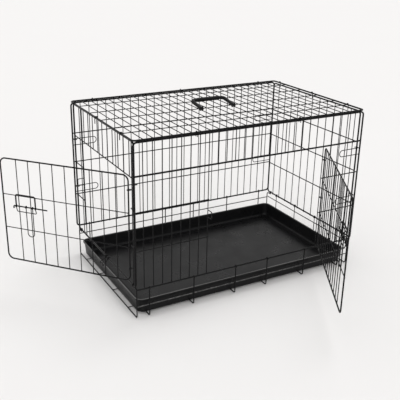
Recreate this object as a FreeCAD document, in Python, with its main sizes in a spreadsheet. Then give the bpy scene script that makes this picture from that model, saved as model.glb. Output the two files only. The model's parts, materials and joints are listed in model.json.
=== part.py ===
import FreeCAD, Part
import math
import os
import Sketcher

Vector = FreeCAD.Vector
Rotation = FreeCAD.Rotation

# Folding wire dog crate.  X runs along the crate (left end at -X), the long front side with the
# wide door faces -Y, Z is up.  The origin is on the floor under the middle of the footprint.
# Every wire is its own solid.  Welded wires lie against each other and share no volume.

doc = FreeCAD.newDocument("wire_dog_crate")
dims = doc.addObject("Spreadsheet::Sheet", "dims")

DIMENSIONS = [
    ("crate_length", 915, "outside length of the panels"),
    ("crate_width", 568, "outside width of the panels"),
    ("crate_height", 622, "floor to the top of the lid's frame"),
    ("frame_wire", 6, "diameter of the wire round each panel"),
    ("door_wire", 5, "diameter of the wire round each door"),
    ("rail_wire", 4, "diameter of cross bars and floor wires"),
    ("bar_wire", 3, "diameter of uprights, hooks and loops"),
    ("bolt_wire", 4.5, "diameter of the latch bolt"),
    ("bracket_wire", 5, "diameter of the latch bracket's hanger"),
    ("side_spaces", 27, "upright spaces along a long side"),
    ("end_spaces", 12, "upright spaces across an end panel"),
    ("running_gap", 0.3, "gap between pieces that move past each other"),
    ("pin_gap", 0.05, "radial clearance of a ring on the wire it turns on"),
    ("frame_bend", 12, "centre-line bend radius of the panel frames"),
    ("front_sill", 109, "height of the front panel's bottom rail"),
    ("back_sill", 121, "height of the back panel's bottom rail"),
    ("left_sill", 115, "height of the left end's bottom rail, its fold axis"),
    ("right_sill", 118, "height of the right end's bottom rail, its fold axis"),
    ("side_top", 612.7, "height of the front and back panels' top rails"),
    ("end_top", 612, "height of the end panels' top rails"),
    ("end_inset", 6, "end panels stand this far inside the corner posts"),
    ("front_header", 504, "height of the bar above the front door"),
    ("front_bar_high", 383, "upper short bar beside the front door"),
    ("front_bar_low", 248, "lower short bar beside the front door"),
    ("back_bar_top", 498, "back panel's top cross bar"),
    ("back_bar_middle", 386, "back panel's middle cross bar"),
    ("back_bar_low", 255, "back panel's low cross bar"),
    ("left_header", 491, "height of the bar above the end door"),
    ("left_bar_high", 386, "upper short bar beside the end door"),
    ("left_bar_low", 255, "lower short bar beside the end door"),
    ("loop_high", 464, "middle of the upper corner loops"),
    ("loop_low", 277, "middle of the lower corner loops"),
    ("loop_reach", 92, "length of a corner loop"),
    ("loop_bend", 12, "half the height of a corner loop"),
    ("hook_root", 9, "run of a corner hook along the side panel, before the end panel's post"),
    ("hook_tip", 6, "run of a corner hook past the end panel's post"),
    ("front_jamb", 8, "upright on the free side of the front door"),
    ("front_hinge", 22, "upright that carries the front door"),
    ("door_overlap", 22, "a door's free edge wire reaches this far past its jamb upright"),
    ("door_gap", 2.5, "gap between a panel's face and a closed door's frame"),
    ("front_door_base", 119, "front door's bottom rail"),
    ("front_door_head", 501, "front door's top rail"),
    ("front_door_bars", 13, "uprights in the front door"),
    ("front_bar_one", 373, "front door's upper cross bar"),
    ("front_bar_two", 243, "front door's lower cross bar"),
    ("front_door_open", 60, "front door's angle from closed as stored"),
    ("end_hinge_inset", 39.8, "end door's hinge from the crate's front face"),
    ("end_door_width", 467, "end door's width between wire centres"),
    ("end_door_base", 130, "end door's bottom rail"),
    ("end_door_head", 499, "end door's top rail"),
    ("end_door_bars", 9, "uprights in the end door"),
    ("end_bar_one", 372, "end door's upper cross bar"),
    ("end_bar_two", 251, "end door's lower cross bar"),
    ("end_door_open", 41.5, "end door's angle from closed as stored"),
    ("front_door_bend", 14, "bend radius of the front door's corners"),
    ("end_door_bend", 20, "bend radius of the end door's corners"),
    ("latch_drop", 36, "bolt axis below the door's upper cross bar"),
    ("bracket_rise", 5, "bracket's top above the door's upper cross bar"),
    ("bracket_drop", 21, "bracket's lower bar below the bolt axis"),
    ("bracket_bend", 6, "bend radius of the bracket's hanger"),
    ("bracket_sink", 0.45, "gap between the guides and the tops of the bracket's lower legs"),
    ("bolt_place", 43, "bolt's turned-down tip from the door's free edge"),
    ("bolt_length", 128, "length of the bolt's straight run"),
    ("bolt_tip", 9, "drop of the bolt's turned-down tip"),
    ("small_bend", 4, "bend radius of the bolt's tip, the keeper and the bracket's lower bar"),
    ("guide_near", 53, "outer bolt guide from the door's free edge"),
    ("guide_far", 127, "inner bolt guide from the door's free edge"),
    ("pull_place", 103, "pull loop's middle from the door's free edge"),
    ("pull_half", 12.5, "half the pull loop's width"),
    ("pull_length", 107, "pull loop's length below the bolt"),
    ("keeper_depth", 7, "keeper staple reaches this far past the bolt axis"),
    ("keeper_above", 8, "keeper's upper leg above the bolt axis"),
    ("keeper_below", 18, "keeper's lower leg below the bolt axis"),
    ("floor_bend", 8, "bend radius of the floor wires"),
    ("riser_inset", 0.6, "end wires' risers from the side uprights' layer"),
    ("front_low_rail", 43, "height of the rail in front of the tray"),
    ("back_low_rail", 87, "height of the floor's rail under the back panel"),
    ("right_low_rail", 90, "height of the floor's rail under the right end"),
    ("pivot_place", 250, "end panels' outer pivot eyes from the middle"),
    ("top_first", 82, "lid's first long wire from the back face"),
    ("top_step", 106, "spacing of the lid's long wires"),
    ("top_last", 97, "lid's last long wire from the front face"),
    ("top_sink", 0.1, "lid's cross wires below the crown of its frame"),
    ("clip_reach", 7, "front clips' feet below the middle of the side panels' top rails"),
    ("finger_reach", 14, "end fingers' feet below the middle of the side panels' top rails"),
    ("finger_root", 1, "end fingers' roots below the middle of the lid's frame"),
    ("tray_base", 7.3, "underside of the tray"),
    ("tray_rim", 63, "top of the tray's rim"),
    ("tray_length", 890, "tray over its rim"),
    ("tray_width", 544, "tray over its rim"),
    ("tray_wall", 2.5, "tray wall thickness"),
    ("tray_flange", 5, "width of the tray's turned-out rim"),
    ("tray_corner", 22, "corner radius of the tray's wall"),
    ("tray_draft", 4, "lean of the tray's walls in degrees"),
    ("handle_reach", 75, "carry handle's pivot to its grip"),
    ("handle_tilt", 10, "stored angle of the carry handle above the lid"),
    ("handle_arm", 7, "radius of the carry handle's arms"),
    ("handle_grip", 8, "radius of the carry handle's grip"),
    ("handle_bend", 14, "bend radius where arm meets grip"),
    ("handle_hub", 8, "outer radius of the carry handle's hubs"),
    ("handle_shoulder", 6, "gap from the handle's bends to its thicker grip"),
    ("hub_length", 13, "length of a carry handle hub"),
    ("stop_place", 22.8, "tray stop's middle, towards the front"),
    ("stop_half", 10, "half the spacing of the tray stop's eyes"),
    ("stop_length", 57, "tray stop's length below its axis"),
    ("stop_open", 50, "tray stop's stored swing away from the tray"),
    ("stop_flare", 14, "spread of the tray stop's feet past its eyes"),
    ("stop_bend", 5, "bend radius of the tray stop"),
    ("stop_sink", 0.15, "gap between the tray stop's eyes and its bent wire"),
]


def fill_sheet():
    """Write one named cell per driving dimension."""
    for row, (alias, value, note) in enumerate(DIMENSIONS, start=1):
        dims.set(f"A{row}", alias)
        dims.set(f"B{row}", str(value))
        dims.set(f"C{row}", note)
        dims.setAlias(f"B{row}", alias)
    doc.recompute()


fill_sheet()


def size(text):
    """Value in millimetres of an arithmetic expression over the sheet's names."""
    return float(dims.evalExpression(text.replace("dims.", "")))


# Expressions used again and again: lines of the four sides and the wire layers in them.
POST_X = "(dims.crate_length - dims.frame_wire) / 2"
POST_Y = "(dims.crate_width - dims.frame_wire) / 2"
PITCH = "(dims.crate_length - dims.frame_wire) / dims.side_spaces"
UPRIGHT_Y = f"({POST_Y} - (dims.frame_wire + dims.bar_wire) / 2)"
BAR_Y = f"({POST_Y} - (dims.frame_wire - dims.rail_wire) / 2)"
END_X = f"({POST_X} - dims.end_inset)"
END_Y = f"({UPRIGHT_Y} - dims.bar_wire / 2 - dims.running_gap - dims.frame_wire / 2)"
END_PITCH = f"(2 * {END_Y} / dims.end_spaces)"
END_UPRIGHT_X = f"({END_X} - (dims.frame_wire + dims.bar_wire) / 2)"
END_BAR_X = f"({END_X} - (dims.frame_wire - dims.rail_wire) / 2)"

AXIS_TURN = {
    "X": Rotation(Vector(0, 1, 0), 90),
    "Y": Rotation(Vector(1, 0, 0), -90),
    "Z": Rotation(),
}
AXIS_VECTOR = {"X": Vector(1, 0, 0), "Y": Vector(0, 1, 0), "Z": Vector(0, 0, 1)}
NEAR_HALF_TURN = 0.98  # share of a U's half width that its bends take, to leave a short straight
nodes = []


def place(item, x, y, z, turn=None):
    """Put an object at three bound coordinates, with a fixed turn."""
    item.Placement = FreeCAD.Placement(Vector(), turn or Rotation())
    item.setExpression("Placement.Base.x", str(x))
    item.setExpression("Placement.Base.y", str(y))
    item.setExpression("Placement.Base.z", str(z))
    return item


def rod(axis, start, length, diameter):
    """Straight wire from the middle of its first end face, along +axis."""
    wire = doc.addObject("Part::Cylinder", "rod")
    wire.setExpression("Radius", f"({diameter}) / 2")
    wire.setExpression("Height", length)
    return place(wire, *start, AXIS_TURN[axis])


def ring(axis, centre, bore, wire):
    """Closed ring of wire with a clear bore of the given radius."""
    item = doc.addObject("Part::Torus", "ring")
    item.setExpression("Radius1", f"{bore} + ({wire}) / 2")
    item.setExpression("Radius2", f"({wire}) / 2")
    return place(item, *centre, AXIS_TURN[axis])


def node(name, members):
    """Gather the solids of one sub-part under the name of its file."""
    item = doc.addObject("Part::Compound", name)
    item.Links = members
    item.Label = name
    nodes.append(item)
    return item


def bent_corner(axes, signs, centre, bend, diameter):
    """Quarter bend of a flat wire loop, in the corner that the signs name."""
    outward = [AXIS_VECTOR[axis] * sign for axis, sign in zip(axes, signs)]
    turn = Rotation(outward[0], outward[1], outward[0].cross(outward[1]), "XYZ")
    item = doc.addObject("Part::Torus", "bend")
    item.setExpression("Radius1", bend)
    item.setExpression("Radius2", f"({diameter}) / 2")
    item.Angle3 = 90
    return place(item, *centre, turn)


def wire_loop(name, axes, spans, level, bend, diameter):
    """One closed rounded rectangle of wire in the plane of two axes.

    spans holds the low and high wire-centre lines along each axis, and level is the plane's
    height along the third.
    """
    third = ({"X", "Y", "Z"} - set(axes)).pop()

    def point(first, second):
        where = {axes[0]: first, axes[1]: second, third: level}
        return where["X"], where["Y"], where["Z"]

    (low_a, high_a), (low_b, high_b) = spans
    pieces = []
    for edge in (low_b, high_b):
        run = f"({high_a}) - ({low_a}) - 2 * {bend}"
        pieces.append(rod(axes[0], point(f"({low_a}) + {bend}", edge), run, diameter))
    for edge in (low_a, high_a):
        run = f"({high_b}) - ({low_b}) - 2 * {bend}"
        pieces.append(rod(axes[1], point(edge, f"({low_b}) + {bend}"), run, diameter))
    for sign_a, edge_a in ((-1, low_a), (1, high_a)):
        for sign_b, edge_b in ((-1, low_b), (1, high_b)):
            centre = point(f"({edge_a}) - {sign_a} * {bend}", f"({edge_b}) - {sign_b} * {bend}")
            pieces.append(bent_corner(axes, (sign_a, sign_b), centre, bend, diameter))
    loop = doc.addObject("Part::MultiFuse", name)
    loop.Shapes = pieces
    loop.Label = name
    nodes.append(loop)
    return loop


def bent_path(points, bend):
    """Path of straight runs through the points, each corner rounded by a tangent arc."""
    edges = []
    start = points[0]
    for corner, after in zip(points[1:-1], points[2:]):
        back = (start - corner).normalize()
        ahead = (after - corner).normalize()
        half = back.getAngle(ahead) / 2
        trim = bend / math.tan(half)
        arc_start = corner + back * trim
        arc_end = corner + ahead * trim
        bisector = (back + ahead).normalize()
        middle = corner + bisector * (bend / math.sin(half) - bend)
        if start.distanceToPoint(arc_start) > 1e-6:
            edges.append(Part.LineSegment(start, arc_start).toShape())
        edges.append(Part.Arc(arc_start, middle, arc_end).toShape())
        start = arc_end
    if start.distanceToPoint(points[-1]) > 1e-6:
        edges.append(Part.LineSegment(start, points[-1]).toShape())
    return Part.Wire(edges)


def bent_wire(points, bend, diameter):
    """Solid round wire swept along straight runs and tangent bends."""
    path = bent_path(points, bend)
    heading = path.Edges[0].tangentAt(path.Edges[0].FirstParameter)
    section = Part.Wire(Part.Circle(points[0], heading, diameter / 2).toShape())
    return path.makePipeShell([section], True, False)


def shaped(name, solids, placement=None):
    """Sub-part whose bent wires have no primitive; its sizes come from the sheet."""
    item = doc.addObject("Part::Feature", name)
    item.Shape = Part.makeCompound(solids)
    if placement:
        item.Placement = placement
    item.Label = name
    nodes.append(item)
    return item


def row(count_from, count_to):
    return range(count_from, count_to + 1)


def side_x(index):
    """Place of a long side's upright, counted from the left corner post."""
    return f"(-{POST_X} + {index} * {PITCH})"


def end_y(index):
    """Place of an end panel's upright, counted from its front post."""
    return f"(-{END_Y} + {index} * {END_PITCH})"


# ---- floor ----------------------------------------------------------------------------------
FLOOR_WIRES = (1.5, 6.5, 11.5, 15.5, 20.5, 25.5)
LONG_WIRES = (1.5, 4.5, 7.5, 10.5)
EYE_REACH = size("dims.frame_wire / 2 + dims.pin_gap + dims.bar_wire")
rail_radius = size("dims.rail_wire / 2")
frame_radius = size("dims.frame_wire / 2")
bar_radius = size("dims.bar_wire / 2")
post_x = size(POST_X)
post_y = size(POST_Y)
upright_y = size(UPRIGHT_Y)
end_x = size(END_X)


def make_floor():
    """Cross wires turned up front and back, end wires, long wires and the low rails."""
    bend = size("dims.floor_bend")
    front_top = size("dims.front_sill") - EYE_REACH
    back_top = size("dims.back_sill") - EYE_REACH
    crossing = []
    for index in FLOOR_WIRES:
        x = size(side_x(index))
        points = [
            Vector(x, -post_y, front_top),
            Vector(x, -post_y, rail_radius),
            Vector(x, post_y, rail_radius),
            Vector(x, post_y, back_top),
        ]
        crossing.append(bent_wire(points, bend, 2 * rail_radius))
    shaped("floor_cross_wires", crossing)

    riser_y = upright_y - size("dims.riser_inset")
    eye_y = size("dims.pivot_place")
    ends = []
    for x, sill in ((-end_x, "dims.left_sill"), (end_x, "dims.right_sill")):
        arm_z = size(sill) - EYE_REACH - rail_radius
        points = [
            Vector(x, -eye_y, arm_z),
            Vector(x, -riser_y, arm_z),
            Vector(x, -riser_y, rail_radius),
            Vector(x, riser_y, rail_radius),
            Vector(x, riser_y, arm_z),
            Vector(x, eye_y, arm_z),
        ]
        ends.append(bent_wire(points, bend, 2 * rail_radius))
    shaped("floor_end_wires", ends)

    long_z = 2 * rail_radius + bar_radius
    right_top = size("dims.right_sill") - EYE_REACH
    along = []
    for index in LONG_WIRES:
        y = size(end_y(index))
        points = [
            Vector(-end_x - rail_radius, y, long_z),
            Vector(end_x, y, long_z),
            Vector(end_x, y, right_top),
        ]
        along.append(bent_wire(points, bend, 2 * bar_radius))
    shaped("floor_long_wires", along)

    inner_y = f"({POST_Y} - dims.rail_wire)"
    reach = f"({END_X} - dims.rail_wire / 2)"
    right_x = f"{END_X} + (dims.bar_wire + dims.rail_wire) / 2"
    half_rail = f"({UPRIGHT_Y} - dims.bar_wire)"
    wire = "dims.rail_wire"
    rails = [
        rod("X", (f"-{reach}", f"-{inner_y}", "dims.front_low_rail"), f"2 * {reach}", wire),
        rod("X", (f"-{reach}", inner_y, "dims.back_low_rail"), f"2 * {reach}", wire),
        rod("Y", (right_x, f"-{half_rail}", "dims.right_low_rail"), f"2 * {half_rail}", wire),
    ]
    node("floor_low_rails", rails)


def make_eyes():
    """Wire eyes in which the panels' bottom rails turn."""
    bore = "dims.frame_wire / 2 + dims.pin_gap"
    for side, sign, sill in (("front", "-", "dims.front_sill"), ("back", "", "dims.back_sill")):
        eyes = []
        for index in FLOOR_WIRES:
            centre = (side_x(index), f"{sign}{POST_Y}", sill)
            eyes.append(ring("X", centre, bore, "dims.bar_wire"))
        node(f"{side}_sill_eyes", eyes)
    outer = ["-dims.pivot_place", "dims.pivot_place"]
    wire = "dims.bar_wire"
    left = [ring("Y", (f"-{END_X}", y, "dims.left_sill"), bore, wire) for y in outer]
    node("left_end_pivot_eyes", left)
    places = outer + [end_y(index) for index in LONG_WIRES]
    right = [ring("Y", (END_X, y, "dims.right_sill"), bore, wire) for y in places]
    node("right_end_pivot_eyes", right)


# ---- long sides -----------------------------------------------------------------------------
def upright(x, y, low, high):
    """Upright whose ends lap the rails' middles by half a wire."""
    lap = "dims.rail_wire / 2"
    length = f"({high}) - ({low}) + 2 * {lap}"
    return rod("Z", (x, y, f"({low}) - {lap}"), length, "dims.bar_wire")


def make_front_panel():
    spans = [(f"-{POST_X}", POST_X), ("dims.front_sill", "dims.side_top")]
    wire_loop("front_frame", "XZ", spans, f"-{POST_Y}", "dims.frame_bend", "dims.frame_wire")
    jamb = int(size("dims.front_jamb"))
    hinge = int(size("dims.front_hinge"))
    last = int(size("dims.side_spaces")) - 1
    uprights = []
    for index in row(1, last):
        low = "dims.front_header" if jamb < index < hinge else "dims.front_sill"
        uprights.append(upright(side_x(index), f"-{UPRIGHT_Y}", low, "dims.side_top"))
    node("front_uprights", uprights)
    inside = f"({POST_X} - dims.frame_wire / 2)"
    start = (f"-{inside}", f"-{POST_Y}", "dims.front_header")
    bars = [rod("X", start, f"2 * {inside}", "dims.frame_wire")]
    left_run = f"({side_x(jamb)} + dims.bar_wire / 2 + {inside})"
    right_from = f"({side_x(hinge)} - dims.bar_wire / 2)"
    right_run = f"{inside} - {right_from}"
    for level in ("dims.front_bar_high", "dims.front_bar_low"):
        bars.append(rod("X", (f"-{inside}", f"-{BAR_Y}", level), left_run, "dims.rail_wire"))
        bars.append(rod("X", (right_from, f"-{BAR_Y}", level), right_run, "dims.rail_wire"))
    node("front_cross_bars", bars)


def make_back_panel():
    spans = [(f"-{POST_X}", POST_X), ("dims.back_sill", "dims.side_top")]
    wire_loop("back_frame", "XZ", spans, POST_Y, "dims.frame_bend", "dims.frame_wire")
    last = int(size("dims.side_spaces")) - 1
    low = "dims.back_sill"
    high = "dims.side_top"
    node("back_uprights", [upright(side_x(i), UPRIGHT_Y, low, high) for i in row(1, last)])
    inside = f"({POST_X} - dims.frame_wire / 2)"
    bars = []
    for level in ("dims.back_bar_top", "dims.back_bar_middle", "dims.back_bar_low"):
        bars.append(rod("X", (f"-{inside}", BAR_Y, level), f"2 * {inside}", "dims.rail_wire"))
    node("back_cross_bars", bars)


def make_corner_wires():
    """Flat U-loops beside three corner posts, and hooks that catch the end panels' posts.

    The front left corner, beside the wide door's opening, has hooks only.
    """
    loop_y = upright_y + 2 * bar_radius
    bend = size("dims.loop_bend")
    reach = size("dims.loop_reach")
    hook_radius = frame_radius + size("dims.running_gap") + bar_radius
    stub = size("dims.hook_root")
    tip = size("dims.hook_tip")
    for side, sign_y in (("front", -1), ("back", 1)):
        loops = []
        hooks = []
        for sign_x in (-1, 1):
            for name in ("dims.loop_high", "dims.loop_low"):
                middle = size(name)
                root_x = sign_x * (post_x - frame_radius)
                nose_x = sign_x * (post_x - reach)
                y = sign_y * loop_y
                points = [
                    Vector(root_x, y, middle + bend),
                    Vector(nose_x, y, middle + bend),
                    Vector(nose_x, y, middle - bend),
                    Vector(root_x, y, middle - bend),
                ]
                if (side, sign_x) != ("front", -1):
                    loops.append(bent_wire(points, bend * NEAR_HALF_TURN, 2 * bar_radius))
                centre_y = upright_y - hook_radius
                x = sign_x * end_x
                z = middle + bend
                points = [
                    Vector(x - sign_x * stub, sign_y * upright_y, z),
                    Vector(x + sign_x * hook_radius, sign_y * upright_y, z),
                    Vector(x + sign_x * hook_radius, sign_y * (centre_y - hook_radius), z),
                    Vector(x - sign_x * tip, sign_y * (centre_y - hook_radius), z),
                ]
                hooks.append(bent_wire(points, hook_radius * NEAR_HALF_TURN, 2 * bar_radius))
        shaped(f"{side}_corner_loops", loops)
        shaped(f"{side}_corner_hooks", hooks)


# ---- lid ------------------------------------------------------------------------------------
LID_Z = "(dims.crate_height - dims.frame_wire / 2)"
LID_CROSS_Z = f"({LID_Z} + (dims.frame_wire - dims.bar_wire) / 2 - dims.top_sink)"
LID_LONG_Z = f"({LID_CROSS_Z} - dims.bar_wire)"
LID_LONG = [
    f"(dims.crate_width / 2 - dims.top_first - {step} * dims.top_step)" for step in range(4)
] + ["(dims.top_last - dims.crate_width / 2)"]
HANDLE_WIRE = 2  # the handle turns on the third long wire from the back
CLIP_PLACES = (6.5, 18.5)  # in side spaces from the left
FINGER_SHARES = (0.07, 0.46, 0.84)  # of the width, from the back
HINGE_PLACES = (2.5, 13.5, 24.5)


def make_lid():
    spans = [(f"-{POST_X}", POST_X), (f"-{POST_Y}", POST_Y)]
    wire_loop("lid_frame", "XY", spans, LID_Z, "dims.frame_bend", "dims.frame_wire")
    inside_y = f"({POST_Y} - dims.frame_wire / 2)"
    last = int(size("dims.side_spaces")) - 1
    cross = []
    for index in row(1, last):
        start = (side_x(index), f"-{inside_y}", LID_CROSS_Z)
        cross.append(rod("Y", start, f"2 * {inside_y}", "dims.bar_wire"))
    node("lid_cross_wires", cross)
    inside_x = f"({POST_X} - dims.frame_wire / 2)"
    wires = []
    for y in LID_LONG:
        wires.append(rod("X", (f"-{inside_x}", y, LID_LONG_Z), f"2 * {inside_x}", "dims.bar_wire"))
    node("lid_long_wires", wires)


def make_lid_clips():
    """Front clips, end fingers and the rings round the back panel's top rail."""
    lid_z = size(LID_Z)
    side_top = size("dims.side_top")
    reach = frame_radius + size("dims.running_gap") + bar_radius
    crown = lid_z + frame_radius + bar_radius
    clips = []
    foot = side_top - size("dims.clip_reach")
    for index in CLIP_PLACES:
        x = size(side_x(index))
        points = [
            Vector(x, -post_y - reach, foot),
            Vector(x, -post_y - reach, crown),
            Vector(x, -post_y + reach, crown),
            Vector(x, -post_y + reach, foot),
        ]
        clips.append(bent_wire(points, reach * NEAR_HALF_TURN, 2 * bar_radius))
    shaped("lid_front_clips", clips)

    fingers = []
    root = lid_z - size("dims.finger_root")
    tip = side_top - size("dims.finger_reach")
    for sign in (-1, 1):
        for share in FINGER_SHARES:
            y = post_y - share * 2 * post_y
            outer = sign * (post_x + reach)
            inner = sign * (post_x - reach)
            points = [
                Vector(inner, y, root),
                Vector(inner, y, crown),
                Vector(outer, y, crown),
                Vector(outer, y, tip),
            ]
            fingers.append(bent_wire(points, reach * NEAR_HALF_TURN, 2 * bar_radius))
    shaped("lid_end_fingers", fingers)

    ring_radius = frame_radius + size("dims.pin_gap") + bar_radius
    rings = []
    rise = crown - ring_radius - side_top
    up = Vector(0, 0, 1)
    across = Vector(0, 1, 0)
    for index in HINGE_PLACES:
        centre = Vector(size(side_x(index)), post_y, side_top)
        rings.append(oval_ring(centre, up, across, rise, ring_radius, bar_radius))
    shaped("lid_hinge_rings", rings)


def oval_ring(centre, along, across, rise, radius, wire):
    """Closed ring round two parallel wires: two half circles joined by straight runs."""
    far = centre + along * rise
    sides = [centre + across * radius, centre - across * radius]
    tops = [far + across * radius, far - across * radius]
    edges = [
        Part.LineSegment(sides[0], tops[0]).toShape(),
        Part.Arc(tops[0], far + along * radius, tops[1]).toShape(),
        Part.LineSegment(tops[1], sides[1]).toShape(),
        Part.Arc(sides[1], centre - along * radius, sides[0]).toShape(),
    ]
    section = Part.Wire(Part.Circle(sides[0], along, wire).toShape())
    return Part.Wire(edges).makePipeShell([section], True, False)


def make_handle():
    """Moulded carry handle: hubs round the lid's middle long wire, arms and a thicker grip."""
    arm = size("dims.handle_arm")
    reach = size("dims.handle_reach")
    hub = size("dims.handle_hub")
    half = size(side_x(15.5))
    width = size("dims.hub_length")
    bore = bar_radius + size("dims.pin_gap")
    axis_y = size(LID_LONG[HANDLE_WIRE])
    axis_z = size(LID_LONG_Z)
    points = [
        Vector(-half, 0, 0),
        Vector(-half, reach, 0),
        Vector(half, reach, 0),
        Vector(half, 0, 0),
    ]
    bow = bent_wire(points, size("dims.handle_bend"), 2 * arm)
    grip_half = half - size("dims.handle_bend + dims.handle_shoulder")
    along = Vector(1, 0, 0)
    start = Vector(-grip_half, reach, 0)
    grip = Part.makeCylinder(size("dims.handle_grip"), 2 * grip_half, start, along)
    rims = [edge for edge in grip.Edges if edge.Closed and edge.Length > 1]
    body = bow.fuse(grip.makeFillet(arm / 2, rims))
    for sign in (-1, 1):
        start = Vector(sign * half - width / 2, 0, 0)
        body = body.fuse(Part.makeCylinder(hub, width, start, along))
    for sign in (-1, 1):
        start = Vector(sign * half - width, 0, 0)
        body = body.cut(Part.makeCylinder(bore, 2 * width, start, along))
    tilt = Rotation(Vector(1, 0, 0), size("dims.handle_tilt"))
    shaped("carry_handle", body.Solids, FreeCAD.Placement(Vector(0, axis_y, axis_z), tilt))


# ---- end panels -----------------------------------------------------------------------------
DOOR_HINGE_Y = "(dims.end_hinge_inset - dims.crate_width / 2)"
END_JAMB_Y = f"({DOOR_HINGE_Y} + dims.end_door_width - dims.door_overlap)"


def make_left_end():
    spans = [(f"-{END_Y}", END_Y), ("dims.left_sill", "dims.end_top")]
    wire_loop("left_end_frame", "YZ", spans, f"-{END_X}", "dims.frame_bend", "dims.frame_wire")
    last = int(size("dims.end_spaces")) - 1
    x = f"-{END_UPRIGHT_X}"
    jamb = size(END_JAMB_Y)
    high = "dims.end_top"
    uprights = [upright(x, y, "dims.left_sill", high) for y in (DOOR_HINGE_Y, END_JAMB_Y)]
    for index in row(1, last):
        y = size(end_y(index))
        if y > jamb:
            uprights.append(upright(x, end_y(index), "dims.left_sill", high))
        elif jamb - y > 3 * bar_radius:
            uprights.append(upright(x, end_y(index), "dims.left_header", high))
    node("left_end_uprights", uprights)
    inside = f"({END_Y} - dims.frame_wire / 2)"
    bar_x = f"-{END_BAR_X}"
    wire = "dims.rail_wire"
    bars = [rod("Y", (bar_x, f"-{inside}", "dims.left_header"), f"2 * {inside}", wire)]
    front_run = f"{DOOR_HINGE_Y} + dims.bar_wire / 2 + {inside}"
    back_from = f"({END_JAMB_Y} - dims.bar_wire / 2)"
    for level in ("dims.left_bar_high", "dims.left_bar_low"):
        bars.append(rod("Y", (bar_x, f"-{inside}", level), front_run, wire))
        bars.append(rod("Y", (bar_x, back_from, level), f"{inside} - {back_from}", wire))
    node("left_end_cross_bars", bars)


def make_right_end():
    spans = [(f"-{END_Y}", END_Y), ("dims.right_sill", "dims.end_top")]
    wire_loop("right_end_frame", "YZ", spans, END_X, "dims.frame_bend", "dims.frame_wire")
    last = int(size("dims.end_spaces")) - 1
    low = "dims.right_sill"
    high = "dims.end_top"
    node("right_end_uprights", [upright(END_UPRIGHT_X, end_y(i), low, high) for i in row(1, last)])
    inside = f"({END_Y} - dims.frame_wire / 2)"
    bars = []
    for level in ("dims.back_bar_top", "dims.back_bar_middle", "dims.back_bar_low"):
        bars.append(rod("Y", (END_BAR_X, f"-{inside}", level), f"2 * {inside}", "dims.rail_wire"))
    node("right_end_cross_bars", bars)


# ---- doors ----------------------------------------------------------------------------------
# A door is laid out in its own frame: X from the hinge wire to the free edge, +Y out of the
# crate when it is closed, Z the crate's own height.
FACE_GAP = size("dims.door_gap + (dims.frame_wire + dims.door_wire) / 2")
FRONT_DOOR_WIDTH = (
    f"({side_x('dims.front_hinge')} - {side_x('dims.front_jamb')} + dims.door_overlap)"
)
FRONT_HINGE_LEVELS = (165, 310, 455)
END_HINGE_LEVELS = (175, 310, 450)
front_hinge = Vector(size(side_x("dims.front_hinge")), -post_y - FACE_GAP, 0)
end_hinge = Vector(-end_x - FACE_GAP, size(DOOR_HINGE_Y), 0)
bolt_y = size("2 * dims.bar_wire + (dims.bracket_wire - dims.door_wire) / 2")


def door_place(hinge, closed, angle):
    """Placement of a door's own frame, opened by an angle about its hinge wire."""
    return FreeCAD.Placement(hinge, Rotation(Vector(0, 0, 1), closed + angle))


def moved_node(name, members, placement):
    """Compound of bound pieces carried by a door's placement."""
    item = node(name, members)
    item.Placement = placement
    return item


def make_door(side, width, low, high, bars, spacing, levels, bend, placement):
    """Door frame, uprights and cross bars, then its latch."""
    spans = [("0", width), (low, high)]
    frame = wire_loop(f"{side}_door_frame", "XZ", spans, "0", bend, "dims.door_wire")
    frame.Placement = placement
    inset = "(dims.door_wire - dims.bar_wire) / 2"
    height = f"({high}) - ({low}) - dims.door_wire"
    start_z = f"({low}) + dims.door_wire / 2"
    uprights = []
    for index in row(1, int(size(bars))):
        start = (f"{index} * {spacing}", f"-{inset}", start_z)
        uprights.append(rod("Z", start, height, "dims.bar_wire"))
    moved_node(f"{side}_door_uprights", uprights, placement)
    run = f"({width}) - dims.door_wire"
    bar_y = f"dims.bar_wire - {inset}"
    cross = []
    for level in levels:
        cross.append(rod("X", ("dims.door_wire / 2", bar_y, level), run, "dims.bar_wire"))
    moved_node(f"{side}_door_cross_bars", cross, placement)
    make_latch(side, size(width), size(levels[0]), placement)


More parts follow.
